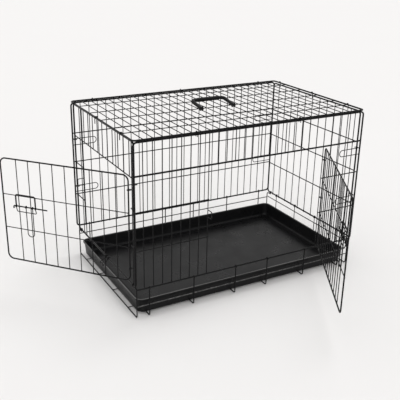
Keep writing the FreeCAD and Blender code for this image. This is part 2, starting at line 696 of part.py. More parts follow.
def make_latch(side, width, upper_bar, placement):
    """Bracket with two guide rings and a lower bar, sliding bolt and hanging pull loop."""
    axis_z = upper_bar - size("dims.latch_drop")
    bolt = size("dims.bolt_wire") / 2
    bore = bolt + size("dims.pin_gap")
    near = width - size("dims.guide_near")
    far = width - size("dims.guide_far")
    guide = bore + bar_radius
    guides = []
    for x in (near, far):
        circle = Part.makeTorus(guide, bar_radius, Vector(x, bolt_y, axis_z), Vector(1, 0, 0))
        guides.append(circle)
    ring_top = axis_z + guide + bar_radius
    crown = upper_bar + size("dims.bracket_rise")
    points = [
        Vector(near, bolt_y, ring_top),
        Vector(near, bolt_y, crown),
        Vector(far, bolt_y, crown),
        Vector(far, bolt_y, ring_top),
    ]
    guides.append(bent_wire(points, size("dims.bracket_bend"), size("dims.bracket_wire")))
    bend = size("dims.small_bend")
    ring_low = axis_z - guide - bar_radius
    bar_y = size("1.5 * dims.bar_wire - dims.door_wire / 2")
    bar_z = axis_z - size("dims.bracket_drop")
    leg_top = ring_low - size("dims.bracket_sink")
    points = [
        Vector(near, bolt_y, leg_top),
        Vector(near, bar_y, bar_z),
        Vector(far, bar_y, bar_z),
        Vector(far, bolt_y, leg_top),
    ]
    guides.append(bent_wire(points, bend, 2 * bar_radius))
    shaped(f"{side}_latch_bracket", guides, placement)

    tip_x = width - size("dims.bolt_place")
    points = [
        Vector(tip_x - size("dims.bolt_length"), bolt_y, axis_z),
        Vector(tip_x, bolt_y, axis_z),
        Vector(tip_x, bolt_y, axis_z - size("dims.bolt_tip")),
    ]
    shaped(f"{side}_latch_bolt", [bent_wire(points, bend, 2 * bolt)], placement)

    middle = width - size("dims.pull_place")
    half = size("dims.pull_half")
    eyes = []
    for x in (middle - half, middle + half):
        eyes.append(Part.makeTorus(guide, bar_radius, Vector(x, bolt_y, axis_z), Vector(1, 0, 0)))
    end_z = axis_z - size("dims.pull_length")
    points = [
        Vector(middle - half, bolt_y, ring_low),
        Vector(middle - half, bolt_y, end_z),
        Vector(middle + half, bolt_y, end_z),
        Vector(middle + half, bolt_y, ring_low),
    ]
    eyes.append(bent_wire(points, half * NEAR_HALF_TURN, 2 * bar_radius))
    shaped(f"{side}_latch_pull", eyes, placement)


def make_door_fixings(side, width, upper_bar, levels, closed, jamb_depth):
    """Hinge rings welded to the hinge upright's outer face, and the keeper staple."""
    radius = size("dims.door_wire") / 2 + size("dims.pin_gap") + bar_radius
    rise = jamb_depth - radius - 2 * bar_radius
    inward = Vector(0, -1, 0)
    across = Vector(1, 0, 0)
    rings = []
    for z in levels:
        rings.append(oval_ring(Vector(0, 0, z), inward, across, rise, radius, bar_radius))
    shaped(f"{side}_hinge_rings", rings, closed)

    axis_z = upper_bar - size("dims.latch_drop")
    x = width - size("dims.door_overlap")
    face = bar_radius - jamb_depth
    nose = bolt_y + size("dims.keeper_depth")
    high = axis_z + size("dims.keeper_above")
    low = axis_z - size("dims.keeper_below")
    points = [
        Vector(x, face, high),
        Vector(x, nose, high),
        Vector(x, nose, low),
        Vector(x, face, low),
    ]
    staple = bent_wire(points, size("dims.small_bend"), 2 * bar_radius)
    shaped(f"{side}_latch_keeper", [staple], closed)


def make_doors():
    """The wide front door and the end door, each stored part open."""
    front_open = door_place(front_hinge, 180, size("dims.front_door_open"))
    front_closed = door_place(front_hinge, 180, 0)
    levels = ("dims.front_bar_one", "dims.front_bar_two")
    make_door(
        "front", FRONT_DOOR_WIDTH, "dims.front_door_base", "dims.front_door_head",
        "dims.front_door_bars", PITCH, levels, "dims.front_door_bend", front_open,
    )
    depth = -upright_y - front_hinge.y
    width = size(FRONT_DOOR_WIDTH)
    upper = size("dims.front_bar_one")
    make_door_fixings("front", width, upper, FRONT_HINGE_LEVELS, front_closed, depth)
    end_open = door_place(end_hinge, 90, size("dims.end_door_open"))
    end_closed = door_place(end_hinge, 90, 0)
    levels = ("dims.end_bar_one", "dims.end_bar_two")
    make_door(
        "end", "dims.end_door_width", "dims.end_door_base", "dims.end_door_head",
        "dims.end_door_bars", END_PITCH, levels, "dims.end_door_bend", end_open,
    )
    depth = -size(END_UPRIGHT_X) - end_hinge.x
    width = size("dims.end_door_width")
    upper = size("dims.end_bar_one")
    make_door_fixings("end", width, upper, END_HINGE_LEVELS, end_closed, depth)


# ---- tray and its stop ----------------------------------------------------------------------
def plane(body, role):
    return next(item for item in body.Origin.OriginFeatures if item.Role == role)


def tray_outline(body, name, level, inset):
    """Rounded rectangle sketch, inset from the rim's outer edge by a bound amount."""
    outline = body.newObject("Sketcher::SketchObject", name)
    outline.AttachmentSupport = [(plane(body, "XY_Plane"), "")]
    outline.MapMode = "FlatFace"
    outline.setExpression("AttachmentOffset.Base.z", level)
    long_side = f"dims.tray_length - 2 * ({inset})"
    short_side = f"dims.tray_width - 2 * ({inset})"
    half_x = size(long_side) / 2
    half_y = size(short_side) / 2
    radius = size("dims.tray_corner")
    corners = [(1, -1, 270), (1, 1, 0), (-1, 1, 90), (-1, -1, 180)]
    ends = []
    arcs = []
    for sign_x, sign_y, angle in corners:
        centre = Vector(sign_x * (half_x - radius), sign_y * (half_y - radius), 0)
        circle = Part.Circle(centre, Vector(0, 0, 1), radius)
        begin = math.radians(angle)
        arcs.append(Part.ArcOfCircle(circle, begin, begin + math.pi / 2))
    for first, second in zip(arcs, arcs[1:] + arcs[:1]):
        ends.append(Part.LineSegment(first.EndPoint, second.StartPoint))
    # Even numbers are the arcs and odd numbers the straight sides that follow them.
    for arc, line in zip(arcs, ends):
        outline.addGeometry(arc, False)
        outline.addGeometry(line, False)
    for number in range(8):
        outline.addConstraint(Sketcher.Constraint("Tangent", number, 2, (number + 1) % 8, 1))
    for number in (1, 5):
        outline.addConstraint(Sketcher.Constraint("Vertical", number))
    for number in (3, 7):
        outline.addConstraint(Sketcher.Constraint("Horizontal", number))
    for number in (2, 4, 6):
        outline.addConstraint(Sketcher.Constraint("Equal", 0, number))
    bend = outline.addConstraint(Sketcher.Constraint("Radius", 0, radius))
    outline.setExpression(f"Constraints[{bend}]", "dims.tray_corner")
    wide = outline.addConstraint(Sketcher.Constraint("DistanceX", 5, 1, 1, 1, 2 * half_x))
    outline.setExpression(f"Constraints[{wide}]", long_side)
    deep = outline.addConstraint(Sketcher.Constraint("DistanceY", 7, 1, 3, 1, 2 * half_y))
    outline.setExpression(f"Constraints[{deep}]", short_side)
    outline.addConstraint(Sketcher.Constraint("Symmetric", 0, 3, 4, 3, -1, 1))
    return outline


def make_tray():
    """Moulded pan: drafted walls padded up, hollowed, and a turned-out rim."""
    body = doc.addObject("PartDesign::Body", "tray")
    body.Label = "tray"
    depth = "dims.tray_rim - dims.tray_base"
    lean = f"tan(dims.tray_draft * 1 deg) * ({depth})"
    foot = tray_outline(body, "tray_foot", "dims.tray_base", f"dims.tray_flange + {lean}")
    block = body.newObject("PartDesign::Pad", "tray_block")
    block.Profile = foot
    block.setExpression("Length", depth)
    block.setExpression("TaperAngle", "dims.tray_draft")
    doc.recompute()
    rim = tray_outline(body, "tray_rim_edge", "dims.tray_rim - dims.tray_wall", "0")
    flange = body.newObject("PartDesign::Pad", "tray_flange")
    flange.Profile = rim
    flange.setExpression("Length", "dims.tray_wall")
    doc.recompute()
    inner = f"dims.tray_flange + {lean} + dims.tray_wall"
    floor = tray_outline(body, "tray_floor", "dims.tray_base + dims.tray_wall", inner)
    hollow = body.newObject("PartDesign::Pocket", "tray_hollow")
    hollow.Profile = floor
    hollow.Reversed = True
    hollow.setExpression("Length", depth)
    hollow.setExpression("TaperAngle", "dims.tray_draft")
    doc.recompute()
    body.Tip = hollow
    nodes.append(body)


def make_tray_stop():
    """W-shaped wire that hangs from the left end's bottom rail in front of the tray."""
    place_y = -size("dims.stop_place")
    half = size("dims.stop_half")
    length = size("dims.stop_length")
    radius = frame_radius + size("dims.pin_gap") + bar_radius
    solids = []
    for y in (-half, half):
        solids.append(Part.makeTorus(radius, bar_radius, Vector(0, y, 0), Vector(0, 1, 0)))
    top = -radius - bar_radius - size("dims.stop_sink")
    spread = size("dims.stop_flare")
    flare = half + spread
    points = [
        Vector(0, -half, top),
        Vector(0, -flare, -length),
        Vector(0, 0, top - spread),
        Vector(0, flare, -length),
        Vector(0, half, top),
    ]
    solids.append(bent_wire(points, size("dims.stop_bend"), 2 * bar_radius))
    swing = Rotation(Vector(0, 1, 0), size("dims.stop_open"))
    axis = Vector(-end_x, place_y, size("dims.left_sill"))
    shaped("tray_stop", solids, FreeCAD.Placement(axis, swing))


def check_and_export():
    """Stop on any failed feature or bad shape, then write one file per sub-part."""
    doc.recompute()
    for item in doc.Objects:
        if "Invalid" in item.State or "Error" in item.State:
            raise RuntimeError(f"{item.Label} failed: {item.State}")
    os.makedirs("parts", exist_ok=True)
    for item in nodes:
        if item.Shape.isNull() or not item.Shape.isValid():
            raise RuntimeError(f"{item.Label} has no valid shape")
        if any(solid.Volume <= 0 for solid in item.Shape.Solids) or not item.Shape.Solids:
            raise RuntimeError(f"{item.Label} has an empty or inside-out solid")
        item.Shape.exportStep(f"parts/{item.Label}.step")
        print(item.Label, len(item.Shape.Solids), round(item.Shape.Volume / 1000, 2))


make_floor()
make_eyes()
make_front_panel()
make_back_panel()
make_corner_wires()
make_lid()
make_lid_clips()
make_handle()
make_left_end()
make_right_end()
make_doors()
make_tray()
make_tray_stop()
check_and_export()
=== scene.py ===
import json
import math

import bmesh
import bpy
from mathutils import Matrix, Vector


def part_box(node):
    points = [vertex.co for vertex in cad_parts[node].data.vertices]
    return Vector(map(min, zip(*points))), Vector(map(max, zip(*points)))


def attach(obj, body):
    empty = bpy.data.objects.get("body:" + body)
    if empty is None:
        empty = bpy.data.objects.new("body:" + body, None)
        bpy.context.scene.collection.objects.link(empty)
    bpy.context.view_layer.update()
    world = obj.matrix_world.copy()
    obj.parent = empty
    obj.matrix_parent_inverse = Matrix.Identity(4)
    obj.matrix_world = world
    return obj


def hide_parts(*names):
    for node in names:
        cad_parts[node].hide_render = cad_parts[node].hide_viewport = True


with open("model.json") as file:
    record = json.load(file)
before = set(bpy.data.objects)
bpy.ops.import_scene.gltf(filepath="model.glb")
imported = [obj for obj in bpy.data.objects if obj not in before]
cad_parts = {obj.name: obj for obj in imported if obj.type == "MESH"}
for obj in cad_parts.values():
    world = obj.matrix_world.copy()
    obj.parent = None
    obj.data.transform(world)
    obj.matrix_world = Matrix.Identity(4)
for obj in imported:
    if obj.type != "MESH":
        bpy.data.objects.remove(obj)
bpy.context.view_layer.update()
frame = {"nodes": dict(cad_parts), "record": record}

# Folding wire dog crate: the CAD wires keep their shapes and get a coated-steel material. Weld
# beads, the moulded tray and the carry handle are modelled here. Lengths are in metres.

NODES = frame["nodes"]
JOINTS = {joint["name"]: joint for joint in frame["record"]["behaviour"]["joints"]}


# ---- materials --------------------------------------------------------------------------------
def new_material(name):
    """Empty node material: (material, node tree, principled shader, object coordinates)."""
    material = bpy.data.materials.new(name)
    material.use_nodes = True
    tree = material.node_tree
    tree.nodes.clear()
    output = tree.nodes.new("ShaderNodeOutputMaterial")
    shader = tree.nodes.new("ShaderNodeBsdfPrincipled")
    tree.links.new(shader.outputs["BSDF"], output.inputs["Surface"])
    coordinates = tree.nodes.new("ShaderNodeTexCoord").outputs["Object"]
    return material, tree, shader, coordinates


def noise(tree, coordinates, scale, detail=2.0, distortion=0.0, stretch=None):
    """Noise value socket at a scale in cycles per metre, optionally stretched along axes."""
    if stretch:
        mapping = tree.nodes.new("ShaderNodeMapping")
        mapping.inputs["Scale"].default_value = stretch
        tree.links.new(coordinates, mapping.inputs["Vector"])
        coordinates = mapping.outputs["Vector"]
    texture = tree.nodes.new("ShaderNodeTexNoise")
    texture.inputs["Scale"].default_value = scale
    texture.inputs["Detail"].default_value = detail
    texture.inputs["Distortion"].default_value = distortion
    tree.links.new(coordinates, texture.inputs["Vector"])
    return texture.outputs["Fac"]


def spread(tree, value, low, high, to_low, to_high):
    """Value remapped from one range to another, clamped."""
    remap = tree.nodes.new("ShaderNodeMapRange")
    remap.inputs["From Min"].default_value = low
    remap.inputs["From Max"].default_value = high
    remap.inputs["To Min"].default_value = to_low
    remap.inputs["To Max"].default_value = to_high
    tree.links.new(value, remap.inputs["Value"])
    return remap.outputs["Result"]


def two_tones(tree, factor, first, second):
    """Colour socket that blends two plain or linked colours by a factor."""
    mix = tree.nodes.new("ShaderNodeMix")
    mix.data_type = "RGBA"
    tree.links.new(factor, mix.inputs["Factor"])
    for socket, colour in ((mix.inputs[6], first), (mix.inputs[7], second)):
        if isinstance(colour, tuple):
            socket.default_value = (*colour, 1.0)
        else:
            tree.links.new(colour, socket)
    return mix.outputs[2]


def two_numbers(tree, factor, first, second):
    """Number socket that blends a linked number and a plain one by a factor."""
    mix = tree.nodes.new("ShaderNodeMix")
    mix.data_type = "FLOAT"
    tree.links.new(factor, mix.inputs["Factor"])
    tree.links.new(first, mix.inputs["A"])
    mix.inputs["B"].default_value = second
    return mix.outputs["Result"]


def bump(tree, shader, layers):
    """Chain of bump nodes from (height socket, strength, depth in metres) layers."""
    normal = None
    for height, strength, depth in layers:
        node = tree.nodes.new("ShaderNodeBump")
        node.inputs["Strength"].default_value = strength
        node.inputs["Distance"].default_value = depth
        tree.links.new(height, node.inputs["Height"])
        if normal:
            tree.links.new(normal, node.inputs["Normal"])
        normal = node.outputs["Normal"]
    tree.links.new(normal, shader.inputs["Normal"])


def coated_wire(name, wear_and_sheen, specular, coat):
    """Baked black coating over steel wire; wear sets how much lighter bare steel shows in scraped
    patches, and on the floor's low rails these lighter patches also stand in for a painted
    highlight.
    """
    material, tree, shader, coordinates = new_material(name)
    clouds = noise(tree, coordinates, 26.0, 3.0)
    tone = two_tones(tree, clouds, (0.0025, 0.0025, 0.0028), (0.0065, 0.0065, 0.007))
    patches = noise(tree, coordinates, 75.0, 4.0, 0.4)
    rough = spread(tree, patches, 0.3, 0.7, 0.24, 0.42)
    peel = noise(tree, coordinates, 620.0, 2.0)
    drawn = noise(tree, coordinates, 190.0, 3.0)
    if wear_and_sheen:
        rubbed_and_sheen = noise(tree, coordinates, 150.0, 6.0, 1.2)
        mask = spread(tree, rubbed_and_sheen, 0.66 - wear_and_sheen, 0.72 - wear_and_sheen, 0.0, 1.0)
        # Lighter bare-steel colour in the patches: real wear, and on the floor's low rails also a
        # painted highlight.
        tone = two_tones(tree, mask, tone, (0.11, 0.107, 0.104))
        rough = two_numbers(tree, mask, rough, 0.38)
        tree.links.new(spread(tree, mask, 0.0, 1.0, 0.0, 0.85), shader.inputs["Metallic"])
    tree.links.new(tone, shader.inputs["Base Color"])
    tree.links.new(rough, shader.inputs["Roughness"])
    shader.inputs["Specular IOR Level"].default_value = specular
    shader.inputs["Coat Weight"].default_value = coat
    shader.inputs["Coat Roughness"].default_value = 0.1
    bump(tree, shader, [(drawn, 0.25, 0.0003), (peel, 0.3, 0.00012)])
    return material


def tray_plastic():
    """Black injection-moulded pan: fine leather texture, flow marks, scuffs, a little dust and a
    painted highlight along the rim's top.
    """
    material, tree, shader, coordinates = new_material("tray_plastic")
    flow = noise(tree, coordinates, 5.0, 4.0, 0.8)
    tone = two_tones(tree, flow, (0.0035, 0.0035, 0.0038), (0.0075, 0.0075, 0.008))
    scratch = noise(tree, coordinates, 40.0, 5.0, 0.6, (1.0, 9.0, 1.0))
    scuffs = spread(tree, scratch, 0.6, 0.74, 0.0, 0.55)
    tone = two_tones(tree, scuffs, tone, (0.016, 0.016, 0.0165))
    dust = spread(tree, noise(tree, coordinates, 380.0, 6.0), 0.64, 0.74, 0.0, 0.25)
    tone = two_tones(tree, dust, tone, (0.04, 0.039, 0.037))
    height = tree.nodes.new("ShaderNodeSeparateXYZ")
    tree.links.new(coordinates, height.inputs["Vector"])
    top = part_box("tray")[1].z
    # Painted highlight: a thin lighter band along the top of the rim, where the rim catches the
    # light.
    painted_rim_highlight = spread(tree, height.outputs["Z"], top - 0.0011, top - 0.0004, 0.0, 1.0)
    tone = two_tones(tree, painted_rim_highlight, tone, (0.12, 0.119, 0.117))
    tree.links.new(tone, shader.inputs["Base Color"])
    rough = spread(tree, noise(tree, coordinates, 14.0, 5.0), 0.3, 0.7, 0.24, 0.38)
    tree.links.new(two_numbers(tree, scuffs, rough, 0.5), shader.inputs["Roughness"])
    shader.inputs["Specular IOR Level"].default_value = 0.14
    grain = tree.nodes.new("ShaderNodeTexVoronoi")
    grain.inputs["Scale"].default_value = 520.0
    tree.links.new(coordinates, grain.inputs["Vector"])
    warp = noise(tree, coordinates, 3.2, 1.0)
    leather = grain.outputs["Distance"]
    bump(tree, shader, [(warp, 0.35, 0.004), (leather, 0.3, 0.0002), (scratch, 0.15, 0.0002)])
    return material


def handle_plastic():
    """Satin black moulded grip with a fine spark-eroded texture and rubbed highlights."""
    material, tree, shader, coordinates = new_material("handle_plastic")
    clouds = noise(tree, coordinates, 30.0, 4.0)
    tone = two_tones(tree, clouds, (0.003, 0.003, 0.0033), (0.007, 0.007, 0.0075))
    tree.links.new(tone, shader.inputs["Base Color"])
    rough = spread(tree, noise(tree, coordinates, 55.0, 5.0, 0.5), 0.32, 0.68, 0.34, 0.52)
    tree.links.new(rough, shader.inputs["Roughness"])
    shader.inputs["Specular IOR Level"].default_value = 0.12
    grain = noise(tree, coordinates, 900.0, 3.0)
    bump(tree, shader, [(grain, 0.4, 0.00015), (clouds, 0.2, 0.0004)])
    return material


WIRE = coated_wire("black_coated_wire", 0.0, 0.08, 0.06)
RUBBED = coated_wire("rubbed_latch_wire", 0.05, 0.1, 0.06)
# Floor's low rails: lighter steel patches, partly scraping by the tray and partly a painted
# highlight along the rail.
SCRAPED_RAIL_AND_PAINTED_SHEEN = coated_wire("tray_scraped_rail_and_painted_sheen", 0.16, 0.5, 0.4)
TRAY = tray_plastic()
HANDLE = handle_plastic()
WORN_FITTINGS = (
    "latch_bolt", "latch_pull", "latch_keeper", "latch_bracket",
    "hinge_rings", "pivot_eyes", "sill_eyes",
)

for node_name, node in NODES.items():
    surface = RUBBED if node_name.endswith(WORN_FITTINGS) else WIRE
    if node_name == "floor_low_rails":
        surface = SCRAPED_RAIL_AND_PAINTED_SHEEN
    for place in node.material_slots:
        place.material = surface


def add_piece(name, mesh, material, body):
    """New object that rides on a CAD body and takes its finish from the material's slot."""
    piece = bpy.data.objects.new(name, mesh)
    bpy.context.scene.collection.objects.link(piece)
    mesh.materials.append(material)
    for face in mesh.polygons:
        face.use_smooth = True
    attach(piece, body)
    return piece


# ---- weld beads at the wire crossings -----------------------------------------------------------
STRAIGHT_WIDTH = 0.02  # a wire whose box is wider than this is bent or closed
END_LAP = 0.0026  # a crossing may lie this far past a wire's end
TOUCH_GAP = 0.0012  # wires closer than this are welded
BEAD_REACH = 0.00225
BEAD_HEIGHT = 0.00115
BEAD_SIDES = 12
BEAD_PROFILE = ((-1.0, 0.35), (-0.62, 0.8), (0.0, 1.0), (0.62, 0.8), (1.0, 0.35))  # lift, width
BEAD_TURN = 1.7  # radians between one bead's uneven rim and the next one's


def own_frame(hinge, slide):
    """Matrix from a door's own frame (X to its free edge, Z up) to the shared frame."""
    along = Vector(JOINTS[slide]["axis"])
    up = Vector((0.0, 0.0, 1.0))
    pose = Matrix((along, up.cross(along), up)).transposed().to_4x4()
    pose.translation = JOINTS[hinge]["pos_m"]
    return pose


def split_box(low, high, only_low):
    """A wire's box as straight runs: a bent or closed wire becomes the sides of its outline."""
    extent = high - low
    thin, width, length = sorted(range(3), key=lambda axis: extent[axis])
    if extent[width] < STRAIGHT_WIDTH:
        return [(low, high)]
    thick = extent[thin]
    runs = []
    for along, across in ((length, width), (width, length)):
        for top in (False, True):
            first, second = low.copy(), high.copy()
            if top:
                first[across] = high[across] - thick
            else:
                second[across] = low[across] + thick
            runs.append((first, second))
    if only_low:
        lying = [run for run in runs if run[1].z - run[0].z < 2 * thick]
        return [run for run in lying if run[0].z < low.z + thick]
    return runs


def wire_boxes(node_name, pose, only_low=False):
    """Lowest and highest corner of each straight run of wire in a CAD node, in the given frame."""
    mesh = bmesh.new()
    mesh.from_mesh(NODES[node_name].data)
    mesh.transform(pose.inverted() @ NODES[node_name].matrix_world)
    bmesh.ops.remove_doubles(mesh, verts=mesh.verts, dist=1e-6)
    seen = set()
    boxes = []
    for start in mesh.verts:
        if start in seen:
            continue
        seen.add(start)
        stack = [start]
        low = start.co.copy()
        high = start.co.copy()
        while stack:
            vertex = stack.pop()
            low = Vector(map(min, low, vertex.co))
            high = Vector(map(max, high, vertex.co))
            for edge in vertex.link_edges:
                other = edge.other_vert(vertex)
                if other not in seen:
                    seen.add(other)
                    stack.append(other)
        boxes.extend(split_box(low, high, only_low))
    mesh.free()
    return boxes


def long_axis(box):
    """Number of the axis that a straight run of wire lies along."""
    extent = box[1] - box[0]
    return max(range(3), key=lambda axis: extent[axis])


def bead_between(first, second):
    """Contact point and flat axis of two wires that cross and touch, or None."""
    along_first, along_second = long_axis(first), long_axis(second)
    if along_first == along_second:
        return None
    normal = 3 - along_first - along_second
    for box, along, other in ((first, along_first, second), (second, along_second, first)):
        middle = (other[0][along] + other[1][along]) / 2
        if not box[0][along] - END_LAP <= middle <= box[1][along] + END_LAP:
            return None
    below = first[1][normal] - second[0][normal]
    above = second[1][normal] - first[0][normal]
    if min(abs(below), abs(above)) > TOUCH_GAP:
        return None
    point = Vector((0.0, 0.0, 0.0))
    point[along_second] = (first[0][along_second] + first[1][along_second]) / 2
    point[along_first] = (second[0][along_first] + second[1][along_first]) / 2
    lower, upper = (first, second) if abs(below) < abs(above) else (second, first)
    point[normal] = (lower[1][normal] + upper[0][normal]) / 2
    return point, normal


def butt_beads(wire, rail):
    """(point, axis) at each end of a wire that stops against the side of a rail."""
    along, rail_along = long_axis(wire), long_axis(rail)
    if along == rail_along:
        return []
    third = 3 - along - rail_along
    middle = (wire[0] + wire[1]) / 2
    if not rail[0][rail_along] < middle[rail_along] < rail[1][rail_along]:
        return []
    if not rail[0][third] < middle[third] < rail[1][third]:
        return []
    found = []
    for end, face in ((wire[0][along], rail[1][along]), (wire[1][along], rail[0][along])):
        if abs(end - face) < TOUCH_GAP:
            point = middle.copy()
            point[along] = end
            found.append((point, along))
    return found


def add_bead(mesh, pose, point, normal, turn):
    """Small flattened bead with a slightly uneven rim, where molten metal was squeezed out."""
    across = Vector((0.0, 0.0, 0.0))
    across[normal] = 1.0
    first = Vector((0.0, 0.0, 0.0))
    first[(normal + 1) % 3] = 1.0
    second = Vector((0.0, 0.0, 0.0))
    second[(normal + 2) % 3] = 1.0
    rings = []
    for lift, width in BEAD_PROFILE:
        loop = []
        for side in range(BEAD_SIDES):
            angle = math.tau * side / BEAD_SIDES
            uneven = 1.0 + 0.09 * math.sin(3.0 * angle + turn)
            uneven += 0.05 * math.sin(5.0 * angle - 2.0 * turn)
            reach = BEAD_REACH * width * uneven
            place = point + first * (reach * math.cos(angle)) + second * (reach * math.sin(angle))
            loop.append(mesh.verts.new(pose @ (place + across * (BEAD_HEIGHT * lift))))
        rings.append(loop)
    for low, high in zip(rings, rings[1:]):
        for side in range(BEAD_SIDES):
            after = (side + 1) % BEAD_SIDES
            mesh.faces.new((low[side], low[after], high[after], high[side]))
    mesh.faces.new(list(reversed(rings[0])))
    mesh.faces.new(rings[-1])


def weld_beads(name, body, crossings, butts=(), pose=None):
    """One piece with a bead wherever wires of the paired nodes cross or meet end on.

    Floor wires are turned up at their ends, and only their low runs are welded to each other.
    """
    mesh = bmesh.new()
    pose = pose or Matrix()
    spots = []
    for first_node, second_node in crossings:
        only_low = second_node == "floor_long_wires"
        for first in wire_boxes(first_node, pose, only_low):
            for second in wire_boxes(second_node, pose, only_low):
                found = bead_between(first, second)
                if found:
                    spots.append(found)
    for wire_node, rail_node in butts:
        rails = wire_boxes(rail_node, pose)
        for wire in wire_boxes(wire_node, pose):
            for rail in rails:
                spots.extend(butt_beads(wire, rail))
    for count, (point, normal) in enumerate(spots):
        add_bead(mesh, pose, point, normal, BEAD_TURN * count)
    data = bpy.data.meshes.new(name)
    bmesh.ops.recalc_face_normals(mesh, faces=mesh.faces)
    mesh.to_mesh(data)
    mesh.free()
    add_piece(name, data, WIRE, body)


def panel_welds(name, body, part, pose=None):
    """Beads of one welded panel: uprights on cross bars and frame, bars against the frame."""
    uprights, bars, border = f"{part}_uprights", f"{part}_cross_bars", f"{part}_frame"
    crossings = [(uprights, bars), (uprights, border)]
    weld_beads(name, body, crossings, [(uprights, border), (bars, border)], pose)


weld_beads("lid_welds", "lid", [("lid_cross_wires", "lid_long_wires")],
           [("lid_cross_wires", "lid_frame"), ("lid_long_wires", "lid_frame")])
panel_welds("front_welds", "base", "front")
panel_welds("back_welds", "base", "back")
panel_welds("left_end_welds", "left_end", "left_end")
panel_welds("right_end_welds", "right_end", "right_end")
for side in ("front", "end"):
    door_frame = own_frame(f"{side}_door_swing", f"{side}_bolt_slide")
    panel_welds(f"{side}_door_welds", f"{side}_door", f"{side}_door", door_frame)
weld_beads("floor_welds", "base", [
    ("floor_cross_wires", "floor_long_wires"), ("floor_cross_wires", "floor_low_rails"),
])


# ---- moulded tray -------------------------------------------------------------------------------
CORNER_STEPS = 9
LONG_STEPS = 26
SHORT_STEPS = 16
RIM_CORNER = 0.027
MIN_CORNER = 0.0015
WALL_START = 0.0072  # inset where the corners start to tighten
FLOOR_SKIN = 0.0023  # thickness of the pan's floor
PANEL_INSET = 0.0452  # edge of the raised floor panel
PANEL_TOP = 0.0047  # height of the raised panel over the pan's underside
FLOOR_RINGS = 11
INNERMOST = 0.262
FLOOR_BOW = 0.00035
RIM_DIP = 0.00025


def rounded_loop(half_x, half_y, radius):
    """Points of a rounded rectangle, always the same number, anticlockwise from the right side."""
    radius = max(MIN_CORNER, min(radius, half_x - MIN_CORNER, half_y - MIN_CORNER))
    points = []
    corners = ((1, -1, -90.0), (1, 1, 0.0), (-1, 1, 90.0), (-1, -1, 180.0))
    for number, (sign_x, sign_y, start) in enumerate(corners):
        centre_x = sign_x * (half_x - radius)
        centre_y = sign_y * (half_y - radius)
        for step in range(CORNER_STEPS + 1):
            angle = math.radians(start + 90.0 * step / CORNER_STEPS)
            place = centre_x + radius * math.cos(angle), centre_y + radius * math.sin(angle)
            points.append(place)
        after_x, after_y, after_start = corners[(number + 1) % 4]
        last = points[-1]
        angle = math.radians(after_start)
        following = (after_x * (half_x - radius) + radius * math.cos(angle),
                     after_y * (half_y - radius) + radius * math.sin(angle))
        steps = SHORT_STEPS if number % 2 == 0 else LONG_STEPS
        for step in range(1, steps):
            share = step / steps
            points.append((last[0] + (following[0] - last[0]) * share,
                           last[1] + (following[1] - last[1]) * share))
    return points


def settle(x, y, floor_share, rim_share):
    """Slight unevenness of thin moulded plastic: the floor bows up a little, the rim dips."""
    bow = FLOOR_BOW * (1.0 + math.sin(9.0 * x + 1.0) * math.cos(13.0 * y + 0.4))
    dip = RIM_DIP * (1.0 + math.sin(15.0 * x + 2.0 * y) * math.cos(11.0 * y - 3.0 * x))
    return floor_share * bow - rim_share * dip


def tray_profile(base, top):
    """Loops of the pan's inner and outer skins, from the lip's hem over the rim to the floor.

    Each is (inset from the rim's edge, height, share of the floor's bow, share of the rim's dip).
    """
    inside = [
        (0.0002, top - 0.0044, 0, 1), (0.0, top - 0.0016, 0, 1), (0.0003, top - 0.0006, 0, 1),
        (0.0010, top - 0.0001, 0, 1), (0.0020, top, 0, 1), (0.0030, top - 0.0002, 0, 1),
        (0.0038, top - 0.0008, 0, 1), (0.0052, top - 0.0008, 0, 1), (0.0062, top - 0.0012, 0, 1),
        (0.0070, top - 0.0024, 0, 1), (0.0074, top - 0.0048, 0, 1), (0.0092, top - 0.0270, 0, 0.5),
        (0.0108, base + 0.0120, 0, 0), (0.0118, base + 0.0071, 0.2, 0),
        (0.0140, base + 0.0040, 0.5, 0), (0.0176, base + 0.0026, 0.8, 0),
        (0.0300, base + FLOOR_SKIN, 1, 0), (0.0390, base + FLOOR_SKIN, 1, 0),
        (0.0412, base + 0.0028, 1, 0), (0.0430, base + 0.0042, 1, 0),
        (PANEL_INSET, base + PANEL_TOP, 1, 0),
    ]
    rings = [PANEL_INSET + (INNERMOST - PANEL_INSET) * ring / FLOOR_RINGS
             for ring in range(1, FLOOR_RINGS + 1)]
    inside += [(inset, base + PANEL_TOP, 1, 0) for inset in rings]
    outside = [
        (0.0016, top - 0.0044, 0, 1), (0.0018, top - 0.0026, 0, 1), (0.0042, top - 0.0029, 0, 1),
        (0.0050, top - 0.0046, 0, 1), (0.0056, top - 0.0100, 0, 1), (0.0074, top - 0.0330, 0, 0.5),
        (0.0088, base + 0.0060, 0, 0), (0.0098, base + 0.0026, 0, 0),
        (0.0124, base + 0.0006, 0, 0), (0.0164, base, 0, 0),
        (0.0400, base, 1, 0), (0.0432, base + 0.0012, 1, 0),
        (PANEL_INSET, base + FLOOR_SKIN, 1, 0),
    ]
    outside += [(inset, base + FLOOR_SKIN, 1, 0) for inset in rings]
    return inside, outside


